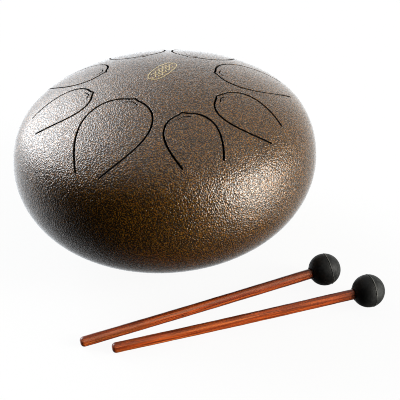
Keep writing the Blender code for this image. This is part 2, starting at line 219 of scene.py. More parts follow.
def empty_material(name):
    material = bpy.data.materials.new(name)
    material.use_nodes = True
    material.node_tree.nodes.clear()
    nodes = Nodes(material.node_tree)
    return material, nodes, nodes.add("ShaderNodeOutputMaterial")


def new_material(name):
    material, nodes, output = empty_material(name)
    shader = nodes.add("ShaderNodeBsdfPrincipled")
    nodes.put(output, {0: shader})
    return material, nodes, shader


# =====================================================================================
# Materials
# =====================================================================================
def bronze_hammertone():
    """Copper and gold flecks in a near-black film, dimpled, under a glossy clear skin."""
    relief_scale, fleck_scale = 840, 1000
    dimple_depth, dimple_lean = 0.00058, 0.12
    fleck_level, film_level = 0.60, 0.90      # brightness of the flecks and of the dark film
    fleck_metal = 0.35

    def level(stops, factor):
        return [(position, tuple(part * factor for part in colour)) for position, colour in stops]

    material, nodes, shader = new_material("bronze_hammertone")
    place = nodes.object_place()
    normal = nodes.add("ShaderNodeNewGeometry").outputs["Normal"]
    warp = nodes.noise(place, scale=1400, detail=1, colour=True)
    warped = nodes.vector("MULTIPLY_ADD", warp, (0.0006, 0.0006, 0.0006), place)
    # dimples: a worm-like relief, and a finer skin that tips the surface this way and that
    relief = nodes.noise(warped, scale=relief_scale, detail=1.0)
    tip = nodes.noise(warped, scale=relief_scale * 1.2, detail=1.0, colour=True)
    tip = nodes.vector("SUBTRACT", tip, (0.5, 0.5, 0.5))
    # seen edge on the dimples hide one another, so the skin looks smoother there
    edge = nodes.add("ShaderNodeLayerWeight", {"Blend": 0.5}).outputs["Facing"]
    fade = nodes.remap(edge, over=(0.50, 0.92), to=(1.0, 0.10))
    lean = nodes.math("MULTIPLY", fade, dimple_lean)
    lean = nodes.add("ShaderNodeCombineXYZ", {"X": lean, "Y": lean, "Z": lean})
    tip = nodes.vector("MULTIPLY_ADD", tip, lean, normal)
    tip = nodes.vector("NORMALIZE", tip)
    tip = nodes.bump(relief, distance=dimple_depth, strength=fade, normal=tip)
    # the flecks follow the relief a quarter, a noise of their own three quarters
    own = nodes.math("MULTIPLY", nodes.noise(warped, scale=fleck_scale, detail=1.0), 0.75)
    spot = nodes.math("MULTIPLY_ADD", relief, 0.25, own)
    fleck = nodes.remap(spot, over=(0.51, 0.56))
    hue = nodes.noise(warped, scale=900, rough=0.7)
    gold = nodes.ramp(hue, level([(0.32, (0.400, 0.112, 0.010)), (0.44, (0.380, 0.140, 0.011)),
                                  (0.58, (0.342, 0.170, 0.012)), (0.72, (0.380, 0.164, 0.030))],
                                 fleck_level))
    film = nodes.ramp(hue, level([(0.35, (0.050, 0.020, 0.004)), (0.6, (0.028, 0.016, 0.006))],
                                 film_level))
    colour = nodes.mix(fleck, film, gold)
    tone = nodes.remap(nodes.noise(place, scale=46), over=(0.3, 0.7), to=(0.90, 1.08))
    nodes.put(shader, {
        "Base Color": nodes.mix(1.0, colour, nodes.grey(tone), "MULTIPLY"),
        "Metallic": nodes.mix_float(fleck, fleck_metal * 0.5, fleck_metal),
        "Roughness": 0.42,
        "Specular IOR Level": 0.2,
        "Normal": tip,
        "Coat Weight": nodes.remap(relief, over=(0.38, 0.60), to=(0.43, 1.0)),
        "Coat Roughness": 0.08,
        "Coat IOR": 1.9,
        "Coat Normal": tip,
    })
    return material


def inside_primer_and_wall_shade():
    """Inside of the drum: thin black primer over steel. The cut edges take it too, as painted shade
    in the narrow cuts.
    """
    material, nodes, shader = new_material("inside_primer_and_wall_shade")
    place = nodes.object_place()
    blotch = nodes.noise(place, scale=60, detail=4, rough=0.6)
    grit = {"scale": 1400, "detail": 3, "rough": 0.6}
    nodes.put(shader, {
        "Base Color": nodes.ramp(blotch, [(0.35, (0.010, 0.009, 0.008)),
                                          (0.7, (0.030, 0.026, 0.023))]),
        "Metallic": 0.35,
        "Roughness": nodes.remap(blotch, over=(0.3, 0.7), to=(0.62, 0.80)),
        "Normal": nodes.bump(nodes.noise(place, **grit), distance=0.00004, strength=0.6),
    })
    return material


def weld_bead():
    """Bare steel with heat colours."""
    material, nodes, shader = new_material("weld_bead")
    place = nodes.object_place()
    heat = nodes.noise(place, scale=140, detail=3, rough=0.6)
    grit = {"scale": 900, "detail": 3, "rough": 0.6}
    nodes.put(shader, {
        "Base Color": nodes.ramp(heat, [(0.3, (0.10, 0.09, 0.085)), (0.5, (0.17, 0.12, 0.09)),
                                        (0.7, (0.09, 0.09, 0.12))]),
        "Metallic": 1.0,
        "Roughness": nodes.remap(heat, over=(0.3, 0.7), to=(0.35, 0.6)),
        "Normal": nodes.bump(nodes.noise(place, **grit), distance=0.00006, strength=0.8),
    })
    return material


def gold_print():
    """Slightly worn gold ink."""
    material, nodes, shader = new_material("gold_print")
    worn = nodes.noise(nodes.object_place(), scale=1500, detail=3, rough=0.65)
    nodes.put(shader, {
        "Base Color": nodes.ramp(worn, [(0.30, (0.50, 0.38, 0.17)), (0.5, (0.74, 0.60, 0.32)),
                                        (0.7, (0.84, 0.74, 0.46))]),
        "Metallic": 0.35,
        "Roughness": nodes.remap(worn, over=(0.3, 0.7), to=(0.42, 0.30)),
        "Normal": nodes.bump(worn, distance=0.00006, strength=0.9),
    })
    return material


def ball_rubber(mallet):
    """Charcoal rubber, dusty from handling, with a paler lip and painted shade in the pinched
    groove at the parting line. The half of the ball beyond that line is painted lighter, as its lit
    side."""
    material, nodes, shader = new_material("ball_rubber_" + mallet.seed)
    place = nodes.attribute("rest", "Vector")
    seam = nodes.attribute("seam")
    half = nodes.attribute("half")
    place = nodes.stretch(place, shift=mallet.rubber_shift)
    cloud = nodes.noise(place, scale=210, detail=4, rough=0.6, distortion=0.8)
    fine = nodes.noise(place, scale=1500, detail=3, rough=0.65)
    scuff = nodes.noise(nodes.stretch(place, scale=(160, 160, 700)),
                        detail=3, rough=0.6, distortion=1.0)
    dust = nodes.math("MULTIPLY", nodes.remap(cloud, over=(0.42, 0.70)),
                      nodes.remap(fine, over=(0.30, 0.70), to=(0.25, 1.0)))
    scuffs = nodes.math("MULTIPLY", nodes.remap(scuff, over=(0.60, 0.74)), 0.6)
    dust = nodes.math("MAXIMUM", dust, scuffs)
    # painted light: the half beyond the parting line is lighter, as the ball's lit side
    clean = nodes.mix(half, (0.0022, 0.0024, 0.0026, 1), (0.0085, 0.0096, 0.0102, 1))
    dusty = nodes.mix(half, (0.0180, 0.0195, 0.0205, 1), (0.0520, 0.0580, 0.0600, 1))
    colour = nodes.mix(nodes.math("MULTIPLY", dust, 0.85), clean, dusty)
    lip = nodes.math("MULTIPLY", nodes.remap(seam, over=(0.25, 0.95)), 0.9)
    colour = nodes.mix(lip, colour, (0.150, 0.150, 0.140, 1))
    # painted shade in the pinched groove beside the parting line
    groove_shade = nodes.remap(seam, over=(-0.65, -0.1), to=(0.8, 0.0))
    colour = nodes.mix(groove_shade, colour, (0.0030, 0.0030, 0.0030, 1))
    nodes.put(shader, {
        "Base Color": colour,
        "Roughness": nodes.mix_float(dust, 0.55, 0.85),
        "Specular IOR Level": 0.35,
        "Sheen Weight": 0.04,
        "Sheen Roughness": 0.5,
    })
    coarse = nodes.noise(place, scale=520, detail=3, rough=0.6)
    height = nodes.math("ADD", nodes.math("MULTIPLY", fine, 0.35),
                        nodes.math("MULTIPLY", coarse, 0.8))
    nodes.put(shader, {"Normal": nodes.bump(height, distance=0.00007, strength=0.8)})
    return material


def foot_rubber():
    """Matt black moulded rubber."""
    material, nodes, shader = new_material("foot_rubber_black")
    place = nodes.attribute("rest", "Vector")
    cloud = nodes.noise(place, scale=180, detail=4, rough=0.6)
    grit = {"scale": 2200, "detail": 3, "rough": 0.6}
    nodes.put(shader, {
        "Base Color": nodes.ramp(cloud, [(0.35, (0.010, 0.010, 0.011)),
                                         (0.7, (0.034, 0.033, 0.032))]),
        "Roughness": nodes.remap(cloud, over=(0.3, 0.7), to=(0.66, 0.84)),
        "Normal": nodes.bump(nodes.noise(place, **grit), distance=0.00005, strength=0.8),
    })
    return material


def zinc_plate():
    """Zinc-plated steel of the fasteners."""
    material, nodes, shader = new_material("zinc_plate")
    place = nodes.attribute("rest", "Vector")
    spangle = nodes.noise(place, scale=700, detail=4, rough=0.6)
    brushed = nodes.noise(nodes.stretch(place, scale=(400, 400, 4000)), detail=3, rough=0.6)
    nodes.put(shader, {
        "Base Color": nodes.ramp(spangle, [(0.3, (0.46, 0.47, 0.49)), (0.7, (0.68, 0.68, 0.66))]),
        "Metallic": 1.0,
        "Roughness": nodes.remap(spangle, over=(0.3, 0.7), to=(0.22, 0.40)),
        "Normal": nodes.bump(nodes.math("ADD", spangle, brushed), distance=0.00003, strength=0.6),
    })
    return material


def red_hardwood(mallet, shaded_side):
    """Red rosewood type: fine long grain, dark pores and streaks, satin varnish. The grain
    runs along local Z. The stick is painted darker, as shade, on the side its last argument
    points to, with a painted highlight band beside it."""
    material, nodes, shader = new_material("red_hardwood_" + mallet.seed)
    place = nodes.attribute("rest", "Vector")
    shifted = nodes.stretch(place, shift=mallet.wood_shift)
    bend = nodes.noise(nodes.stretch(shifted, scale=(60, 60, 9)), detail=3, colour=True)
    bent = nodes.vector("MULTIPLY_ADD", bend, (0.0016, 0.0016, 0.0), shifted)
    rings = nodes.noise(nodes.stretch(bent, scale=(420, 420, 10)), detail=3, rough=0.55)
    streak = nodes.noise(nodes.stretch(bent, scale=(1000, 1000, 30)), detail=3, rough=0.6)
    pore = nodes.noise(nodes.stretch(bent, scale=(2100, 2100, 110)))
    patch = nodes.noise(nodes.stretch(shifted, scale=(120, 120, 22)), detail=3, rough=0.55)
    colour = nodes.ramp(rings, [(0.28, (0.230, 0.028, 0.006)), (0.44, (0.500, 0.072, 0.012)),
                                (0.58, (0.700, 0.130, 0.020)), (0.74, (0.820, 0.210, 0.036))])
    streaks = nodes.remap(streak, over=(0.38, 0.60), to=(0.44, 1.10))
    colour = nodes.mix(1.0, colour, nodes.grey(streaks), "MULTIPLY")
    pores = nodes.remap(pore, over=(0.60, 0.74), to=(0.0, 0.60))
    colour = nodes.mix(pores, colour, (0.035, 0.008, 0.004, 1))
    patches = nodes.remap(patch, over=(0.42, 0.68), to=(0.0, 0.55))
    colour = nodes.mix(patches, colour, (0.120, 0.022, 0.009, 1))
    # how far the surface faces the side that gets painted shade, with an edge broken up by the
    # rings
    turned = nodes.vector("MULTIPLY", place, (1, 1, 0))
    turned = nodes.vector("NORMALIZE", turned)
    side = nodes.vector("DOT_PRODUCT", turned, tuple(shaded_side))
    side = nodes.math("MULTIPLY_ADD", nodes.math("SUBTRACT", rings, 0.5), 0.9, side)
    # painted shade: that side of the stick is darkened
    dark = nodes.remap(side, over=(0.45, 1.0), to=(0.0, mallet.painted_shade_strength))
    colour = nodes.mix(dark, colour, (0.055, 0.008, 0.004, 1))
    # painted highlight: a pale band beside the painted shade
    pale = nodes.math("MULTIPLY", nodes.remap(side, over=(-0.15, 0.22)),
                      nodes.remap(side, over=(0.22, 0.55), to=(1.0, 0.0)))
    pale = nodes.math("MULTIPLY", pale, mallet.painted_highlight_strength)
    nodes.put(shader, {
        "Base Color": nodes.mix(pale, colour, (0.62, 0.27, 0.16, 1)),
        "Roughness": nodes.remap(streak, over=(0.3, 0.7), to=(0.46, 0.34)),
        "Specular IOR Level": 0.25,
        "Coat Weight": 0.50,
        "Coat Roughness": 0.20,
    })
    height = nodes.math("SUBTRACT", nodes.math("MULTIPLY", streak, 0.6),
                        nodes.math("MULTIPLY", pores, 0.5))
    nodes.put(shader, {
        "Normal": nodes.bump(height, distance=0.00005, strength=0.8),
        "Coat Normal": nodes.bump(height, distance=0.00002, strength=0.5),
    })
    return material


BRONZE = bronze_hammertone()
INSIDE_AND_WALL_SHADE = inside_primer_and_wall_shade()
WELD = weld_bead()
GOLD = gold_print()
FOOT = foot_rubber()
ZINC = zinc_plate()


# =====================================================================================
# Mesh helpers
# =====================================================================================
def link(name, mesh, body, nodes=(), matrix=None):
    """Put a mesh in the scene. One placed by a matrix keeps its own coordinates as "rest"."""
    if matrix is not None:
        rest = mesh.attributes.new("rest", "FLOAT_VECTOR", "POINT")
        places = np.empty(len(mesh.vertices) * 3, np.float32)
        mesh.vertices.foreach_get("co", places)
        rest.data.foreach_set("vector", places)
        mesh.transform(matrix)
        mesh.update()
    thing = bpy.data.objects.new(name, mesh)
    bpy.context.scene.collection.objects.link(thing)
    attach(thing, body)
    if nodes:
        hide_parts(*nodes)


def mesh_from(name, verts, faces, material=None, smooth=True):
    mesh = bpy.data.meshes.new(name)
    mesh.from_pydata([tuple(vert) for vert in verts], [], faces)
    if material is not None:
        mesh.materials.append(material)
    if smooth:
        mesh.shade_smooth()
    mesh.validate()
    mesh.update()
    return mesh


def outward(mesh):
    """Turn the faces of a closed mesh to point out of it."""
    work = bmesh.new()
    work.from_mesh(mesh)
    bmesh.ops.recalc_face_normals(work, faces=work.faces)
    if work.calc_volume(signed=True) < 0:
        bmesh.ops.reverse_faces(work, faces=work.faces)
    work.to_mesh(mesh)
    work.free()
    mesh.update()
    return mesh


def sharpen(mesh, degrees):
    mesh.set_sharp_from_angle(angle=math.radians(degrees))
    return mesh


def lathe(profile, segments, closed=False, wobble=None):
    """(verts, faces) of a profile [(radius, z)] turned about Z. Axis points become poles."""
    verts, faces, rows = [], [], []
    for radius, z in profile:
        if radius < 1e-9:
            rows.append([len(verts)])
            verts.append((0.0, 0.0, z))
            continue
        rows.append(list(range(len(verts), len(verts) + segments)))
        for i in range(segments):
            angle = 2 * math.pi * i / segments
            ring_r, ring_z = (radius, z) if wobble is None else wobble(radius, z, angle)
            verts.append((ring_r * math.cos(angle), ring_r * math.sin(angle), ring_z))
    pairs = list(zip(rows, rows[1:])) + ([(rows[-1], rows[0])] if closed else [])
    for row, after in pairs:
        for i in range(segments):
            j = (i + 1) % segments
            if len(row) == 1:
                faces.append((row[0], after[i], after[j]))
            elif len(after) == 1:
                faces.append((row[i], after[0], row[j]))
            else:
                faces.append((row[i], after[i], after[j], row[j]))
    return verts, faces


def unit_rows(rows):
    """Plan vectors brought to length 1."""
    return rows / np.maximum(np.hypot(rows[:, 0], rows[:, 1]), 1e-12)[:, None]


def unit_circle(count):
    angle = np.linspace(0, 2 * math.pi, count, endpoint=False)
    return np.stack([np.cos(angle), np.sin(angle)], 1)


# =====================================================================================
# Bowl surface in arc-length polar coordinates, the flat domain that the cuts are laid out
# in: (arc cos azimuth, arc sin azimuth), arc measured along the skin from the crown
# =====================================================================================
class Bowl:
    """Bowl of revolution given by its support function. sign is 1 up, -1 down."""

    def __init__(self, shape, sign):
        c2, c4, c6 = shape
        tilt = np.linspace(math.pi / 2, 0, 4001)      # elevation of the skin's normal
        support = (1 - c2 - c4 - c6 + c2 * np.cos(2 * tilt) + c4 * np.cos(4 * tilt)
                   + c6 * np.cos(6 * tilt)) * DRUM_R
        slope = -(2 * c2 * np.sin(2 * tilt) + 4 * c4 * np.sin(4 * tilt)
                  + 6 * c6 * np.sin(6 * tilt)) * DRUM_R
        self.tilt = tilt
        self.radius = support * np.cos(tilt) - slope * np.sin(tilt)
        self.z = support * np.sin(tilt) + slope * np.cos(tilt)
        self.radius[0] = 0.0
        self.radius[-1], self.z[-1] = DRUM_R, 0.0
        steps = np.hypot(np.diff(self.radius), np.diff(self.z))
        self.arc = np.concatenate([[0], np.cumsum(steps)])
        self.rim_arc = float(self.arc[-1])
        self.sign = sign

    def arc_at(self, radius):
        return float(np.interp(radius, self.radius, self.arc))

    def to_domain(self, plan):
        """Plan points (metres from the axis) to domain points."""
        radius = np.hypot(plan[:, 0], plan[:, 1])
        arc = np.interp(radius, self.radius, self.arc)
        stretch = np.where(radius > 1e-9, arc / np.maximum(radius, 1e-9), 1.0)
        return plan * stretch[:, None]

    def frame(self, domain):
        """Points, normals, outward meridional and azimuthal tangents, azimuths."""
        domain = np.asarray(domain, float)
        arc = np.hypot(domain[:, 0], domain[:, 1])
        azimuth = np.arctan2(domain[:, 1], domain[:, 0])
        tilt = np.interp(arc, self.arc, self.tilt)
        radius = np.interp(arc, self.arc, self.radius)
        z = np.interp(arc, self.arc, self.z) * self.sign
        cos_a, sin_a, cos_t, sin_t = np.cos(azimuth), np.sin(azimuth), np.cos(tilt), np.sin(tilt)
        points = np.stack([radius * cos_a + CENTRE.x, radius * sin_a + CENTRE.y, z + CENTRE.z], 1)
        normals = np.stack([cos_t * cos_a, cos_t * sin_a, sin_t * self.sign], 1)
        meridians = np.stack([sin_t * cos_a, sin_t * sin_a, -cos_t * self.sign], 1)
        across = np.stack([-sin_a, cos_a, np.zeros_like(azimuth)], 1)
        return points, normals, meridians, across, azimuth


UPPER, LOWER = Bowl(UPPER_BOWL, 1), Bowl(LOWER_BOWL, -1)


# =====================================================================================
# Cuts in a bowl
# =====================================================================================
def resample(path, step):
    """The path at even spacing, as near to step as fits."""
    lengths = np.concatenate([[0], np.cumsum(np.hypot(*np.diff(path, axis=0).T))])
    count = max(2, int(round(lengths[-1] / step)))
    want = np.linspace(0, lengths[-1], count + 1)
    return np.stack([np.interp(want, lengths, path[:, 0]), np.interp(want, lengths, path[:, 1])], 1)


def distance_to_path(points, path, chunk=4000):
    """Distance to the path and nearest point on it, worked in chunks to save memory."""
    start = path[:-1]
    step = path[1:] - start
    length2 = np.maximum((step ** 2).sum(1), 1e-18)
    distance = np.empty(len(points))
    nearest = np.empty((len(points), 2))
    for i in range(0, len(points), chunk):
        part = points[i:i + chunk, None, :]
        along = np.clip(((part - start) * step).sum(2) / length2, 0, 1)
        foot = start + step * along[..., None]
        reach = np.hypot(*(np.moveaxis(part - foot, 2, 0)))
        best = reach.argmin(1)
        rows = np.arange(len(best))
        distance[i:i + chunk] = reach[rows, best]
        nearest[i:i + chunk] = foot[rows, best]
    return distance, nearest


def offset_loop(path, offset, cap_points=5):
    """Closed loop at an even distance round an open path, with round ends."""
    closest = 1.2e-4                          # points nearer than this are merged
    step = unit_rows(np.diff(path, axis=0))
    tangent = np.empty_like(path)
    tangent[1:-1] = unit_rows(step[:-1] + step[1:])
    tangent[0], tangent[-1] = step[0], step[-1]
    normal = np.stack([-tangent[:, 1], tangent[:, 0]], 1)
    mitre = np.ones(len(path))
    mitre[1:-1] = 1 / np.maximum(0.55, (tangent[1:-1] * step[1:]).sum(1))
    left = path + normal * (offset * mitre)[:, None]
    right = path - normal * (offset * mitre)[:, None]

    def cap(end, sign):
        angles = [math.pi * j / (cap_points + 1) for j in range(1, cap_points + 1)]
        return np.array([path[end] + offset * (sign * normal[end] * math.cos(angle)
                                               + sign * tangent[end] * math.sin(angle))
                         for angle in angles])

    loop = np.concatenate([left, cap(-1, 1), right[::-1], cap(0, -1)])
    distance, _ = distance_to_path(loop, path)
    loop = loop[distance > offset - 2e-5]     # inside a sharp bend the loop crosses itself
    keep = [0]
    for i in range(1, len(loop)):
        if np.hypot(*(loop[i] - loop[keep[-1]])) > closest:
            keep.append(i)
    if np.hypot(*(loop[keep[-1]] - loop[0])) < closest:
        keep.pop()
    return loop[keep]


class SlotCut:
    """A cut of even width along an open path, with a softly rounded painted lip."""

    def __init__(self, path, width, lip):
        self.path = path
        self.half = width / 2
        self.loops = [(offset_loop(path, self.half + out), drop, tilt) for out, drop, tilt in lip]
        self.lip_width = lip[-1][0]

    def measure(self, points):
        """Distance outside the cut's wall, and the nearest point of its middle line."""
        distance, nearest = distance_to_path(points, self.path)
        return distance - self.half, nearest


class RoundCut:
    """A round hole with a lip."""

    def __init__(self, centre, radius, count, lip):
        self.centre = np.asarray(centre, float)
        self.radius = radius
        self.loops = [(self.centre + unit_circle(count) * (radius + out), drop, tilt)
                      for out, drop, tilt in lip]
        self.lip_width = lip[-1][0]

    def measure(self, points):
        """Distance outside the hole's wall, and the hole's centre."""
        away = points - self.centre
        distance = np.hypot(away[:, 0], away[:, 1])
        return distance - self.radius, np.broadcast_to(self.centre, points.shape)


# =====================================================================================
# Sheet-metal shells
# =====================================================================================
def shell_points(bowl, cuts, rim_count, spacing):
    """Domain points and fixed edges of a shell, with (cut, drop, tilt) or None per point."""
    points, edges, marks = [], [], []

    def put_loop(loop, mark):
        base, count = len(points), len(loop)
        points.extend(map(tuple, loop))
        marks.extend([mark] * count)
        edges.extend((base + i, base + (i + 1) % count) for i in range(count))

    put_loop(unit_circle(rim_count) * bowl.rim_arc, None)
    for cut in cuts:
        for loop, drop, tilt in cut.loops:
            put_loop(loop, (cut, drop, tilt))
    # between them, rings of evenly spaced points, every other ring turned half a step
    field = [(0.0, 0.0)]
    rings = int(bowl.rim_arc / spacing)
    for i in range(1, rings):
        arc = bowl.rim_arc * i / rings
        count = max(6, int(round(2 * math.pi * arc / spacing)))
        start = 0.5 * (i % 2) / count * 2 * math.pi
        angles = [start + 2 * math.pi * j / count for j in range(count)]
        field.extend((arc * math.cos(angle), arc * math.sin(angle)) for angle in angles)
    field = np.array(field)
    clear = np.ones(len(field), bool)
    for cut in cuts:
        clear &= cut.measure(field)[0] > cut.lip_width + 0.42 * spacing
    field = field[clear]
    points.extend(map(tuple, field))
    marks.extend([None] * len(field))
    return points, edges, marks


def triangulate(points, edges, marks, cuts):
    """Triangles of the domain outside the cuts, with their points and the points' marks."""
    result = geometry.delaunay_2d_cdt([Vector(point) for point in points], edges, [], 0, 1e-8)
    domain = np.array([tuple(vert) for vert in result[0]])
    marks = [next((marks[i] for i in sources if marks[i] is not None), None)
             for sources in result[3]]
    triangles = np.array([tuple(face) for face in result[2] if len(face) == 3])
    middles = domain[triangles].mean(1)
    keep = np.ones(len(triangles), bool)
    for cut in cuts:
        keep &= cut.measure(middles)[0] > 0
    area = np.cross(domain[triangles[:, 1]] - domain[triangles[:, 0]],
                    domain[triangles[:, 2]] - domain[triangles[:, 0]])
    triangles[area < 0] = triangles[area < 0][:, ::-1]
    keep &= np.abs(area) > 1e-14
    triangles = triangles[keep]
    used = np.unique(triangles)
    renumber = -np.ones(len(domain), int)
    renumber[used] = np.arange(len(used))
    return renumber[triangles], domain[used], [marks[i] for i in used]


def border_edges(triangles, count):
    """Edges that belong to one triangle only: the cut walls and the rim."""
    edges = np.concatenate([triangles[:, [0, 1]], triangles[:, [1, 2]], triangles[:, [2, 0]]])
    key = np.sort(edges, 1)
    code = key[:, 0].astype(np.int64) * (count + 1) + key[:, 1]
    _, first, uses = np.unique(code, return_index=True, return_counts=True)
    return edges[first[uses == 1]]


def outer_skin(bowl, cuts, domain, marks):
    """Outer and inner points, outer and bowl normals. Lips drop and tip towards the cuts."""
    points, normals, meridians, across, azimuth = bowl.frame(domain)
    outer, tipped = points.copy(), normals.copy()
    for cut in cuts:
        own = np.array([i for i, mark in enumerate(marks) if mark is not None and mark[0] is cut])
        _, nearest = cut.measure(domain[own])
        way = unit_rows(nearest - domain[own])
        radial = np.stack([np.cos(azimuth[own]), np.sin(azimuth[own])], 1)
        around = np.stack([-radial[:, 1], radial[:, 0]], 1)
        to_cut = (meridians[own] * (way * radial).sum(1)[:, None]
                  + across[own] * (way * around).sum(1)[:, None])
        drop = np.array([marks[i][1] for i in own])
        tilt = np.radians([marks[i][2] for i in own])
        outer[own] -= normals[own] * drop[:, None]
        tipped[own] = normals[own] * np.cos(tilt)[:, None] + to_cut * np.sin(tilt)[:, None]
    return outer, points - normals * SHEET, tipped, normals


def shell_mesh(name, bowl, cuts, rim_count, spacing):
    """Sheet-metal bowl with cuts: outer skin, inner skin, cut walls and rim, closed."""
    points, edges, marks = shell_points(bowl, cuts, rim_count, spacing)
    triangles, domain, marks = triangulate(points, edges, marks, cuts)
    count = len(domain)
    outer, inner, tipped, normals = outer_skin(bowl, cuts, domain, marks)
    verts = np.concatenate([outer, inner])
    start, end = border_edges(triangles, count).T
    if bowl.sign > 0:
        skin, lining = triangles, triangles[:, ::-1] + count
        wall = np.stack([end, start, start + count, end + count], 1)
    else:
        skin, lining = triangles[:, ::-1], triangles + count
        wall = np.stack([start, end, end + count, start + count], 1)
    mesh = bpy.data.meshes.new(name)
    mesh.from_pydata(verts.tolist(), [], skin.tolist() + lining.tolist() + wall.tolist())
    mesh.materials.append(BRONZE)
    mesh.materials.append(INSIDE_AND_WALL_SHADE)
    # the inner skin takes the black primer, and the cut walls take it too as painted shade
    kinds = [0] * len(skin) + [1] * (len(lining) + len(wall))
    mesh.polygons.foreach_set("material_index", np.array(kinds, np.int32))
    mesh.shade_smooth()
    # exact normals: the curve's own on both skins, tipped on the lips, sideways on the walls
    smooth = np.concatenate([tipped, -normals])
    smooth /= np.linalg.norm(smooth, axis=1)[:, None]
    flat = np.cross(verts[wall[:, 1]] - verts[wall[:, 0]], verts[wall[:, 3]] - verts[wall[:, 0]])
    flat /= np.maximum(np.linalg.norm(flat, axis=1), 1e-15)[:, None]
    corners = np.concatenate([smooth[skin].reshape(-1, 3), smooth[lining].reshape(-1, 3),
                              np.repeat(flat, 4, axis=0)])
    mesh.normals_split_custom_set([tuple(corner) for corner in corners])
    mesh.update()
    return mesh


def turn_plan(out, side, azimuth):
    """Plan points in metres from distances outward and sideways, in drum radii."""
    angle = math.radians(azimuth)
    return np.stack([DRUM_R * (out * math.cos(angle) - side * math.sin(angle)),
                     DRUM_R * (out * math.sin(angle) + side * math.cos(angle))], 1)


def tongue_legs(azimuth, tip, root, half, widest, root_half):
    """The two halves of a tongue's outline in plan: root to tip, then tip to root."""
    turn = np.radians(np.concatenate([np.linspace(0, 8, 12, endpoint=False),
                                      np.linspace(8, 90, 60)]))
    side = half * np.sin(turn) ** (2 / TIP_POWER)
    arch = np.maximum(np.cos(turn), 0) ** (2 / TIP_POWER)
    out = widest - (widest - tip - CUSP_DEPTH) * arch
    out -= CUSP_DEPTH * np.maximum(0, 1 - side / CUSP_HALF) ** 2
    along = np.linspace(0, 1, 60)[1:]
    leg_side = root_half + (half - root_half) * (1 - along ** LEG_POWER)
    out = np.concatenate([out, widest + (root - widest) * along])
    side = np.concatenate([side, leg_side])
    return turn_plan(out[::-1], -side[::-1], azimuth), turn_plan(out, side, azimuth)


def slit_path(azimuth, tip):
    """A shallow V of two curved arms behind a tongue's tip."""
    along = np.linspace(0, 1, 9)
    out = tip + SLIT_SETBACK + SLIT_RISE * along ** 1.25
    arms = [resample(UPPER.to_domain(turn_plan(out, sign * SLIT_HALF * along, azimuth)), 0.0008)
            for sign in (-1, 1)]
    return np.concatenate([arms[0][::-1], arms[1][1:]])


def build_upper():
    cuts = []
    for i, tongue in enumerate(TONGUES):
        first, second = [resample(UPPER.to_domain(leg), 0.0009) for leg in tongue_legs(*tongue)]
        if i == SHORT_LEG_TONGUE:
            second = second[:-SHORT_LEG_POINTS]
        cuts.append(SlotCut(np.concatenate([first, second[1:]]), SLOT_WIDTH, SLOT_LIP))
        cuts.append(SlotCut(slit_path(*tongue[:2]), SLIT_WIDTH, SLIT_LIP))
    mesh = shell_mesh("drum_top_shell", UPPER, cuts, rim_count=384, spacing=0.0026)
    link("drum_top_shell", mesh, "drum", ["top_shell"])


def foot_centre(azimuth):
    """Domain point of a foot on the lower bowl."""
    arc = LOWER.arc_at(FOOT_CIRCLE_R)
    angle = math.radians(azimuth)
    return arc * math.cos(angle), arc * math.sin(angle)


def build_lower():
    cuts = [RoundCut((0, 0), LOWER.arc_at(PORT_R), 150, PORT_LIP)]
    for _, azimuth in FEET:
        cuts.append(RoundCut(foot_centre(azimuth), SCREW_HOLE_R, 28, HOLE_LIP))
    mesh = shell_mesh("drum_bottom_shell", LOWER, cuts, rim_count=384, spacing=0.0036)
    link("drum_bottom_shell", mesh, "drum", ["bottom_shell"])


def build_weld():
    """The weld's root bead inside the drum, with the ripples of a hand-run bead."""
    around, section = 720, 10
    half_width, depth = 0.0017, 0.0010
    base = DRUM_R - SHEET + 0.0003            # the bead's flat back, sunk in the sheet
    verts, faces = [], []
    for i in range(around):
        angle = 2 * math.pi * i / around
        ripple = (0.00016 * math.sin(angle * 236) + 0.00010 * math.sin(angle * 37 + 1.3)
                  + 0.00007 * math.sin(angle * 91))
        for j in range(section):
            turn = math.pi * j / (section - 1)
            z = (half_width + ripple * 1.4) * math.cos(turn)
            radius = base - (depth + ripple) * math.sin(turn)
            verts.append((CENTRE.x + radius * math.cos(angle),
                          CENTRE.y + radius * math.sin(angle), CENTRE.z + z))
    for i in range(around):
        here, after = i * section, (i + 1) % around * section
        for j in range(section):
            k = (j + 1) % section
            faces.append((here + j, here + k, after + k, after + j))
    mesh = sharpen(outward(mesh_from("drum_equator_weld", verts, faces, WELD)), 50)
    link("drum_equator_weld", mesh, "drum", ["equator_weld"])


# =====================================================================================
# Printed gold ornament: ripple lines inside a leaf outline, with a small ring at each end
# =====================================================================================
PRINT_CENTRE = np.array([0.015, 0.075]) * DRUM_R
PRINT_ANGLE = math.radians(60)
PRINT_SCALE, STROKE_SCALE = 1.14, 1.3
PRINT_SUNK, PRINT_PROUD = -0.00004, 0.00005   # bottom and top of a stroke, from the skin


def ribbon(verts, faces, path, width, closed):
    """Thin raised strip along a plan path on the upper skin."""
    tangent = np.roll(path, -1, 0) - np.roll(path, 1, 0)
    if not closed:
        tangent[0], tangent[-1] = path[1] - path[0], path[-1] - path[-2]
    tangent = unit_rows(tangent)
    side = np.stack([-tangent[:, 1], tangent[:, 0]], 1) * (width / 2)
    left, right = path + side, path - side
    base = len(verts)
    for points, height in ((left, PRINT_SUNK), (left, PRINT_PROUD),
                           (right, PRINT_PROUD), (right, PRINT_SUNK)):
        skin, normals, *_ = UPPER.frame(UPPER.to_domain(points))
        verts.extend((skin + normals * height).tolist())
    count = len(path)
    for i in range(count if closed else count - 1):
        j = (i + 1) % count
        for corner in range(4):
            row, after = base + corner * count, base + (corner + 1) % 4 * count
            faces.append((row + i, row + j, after + j, after + i))
    if not closed:
        faces.append(tuple(base + corner * count for corner in (0, 1, 2, 3)))
        faces.append(tuple(base + corner * count + count - 1 for corner in (3, 2, 1, 0)))


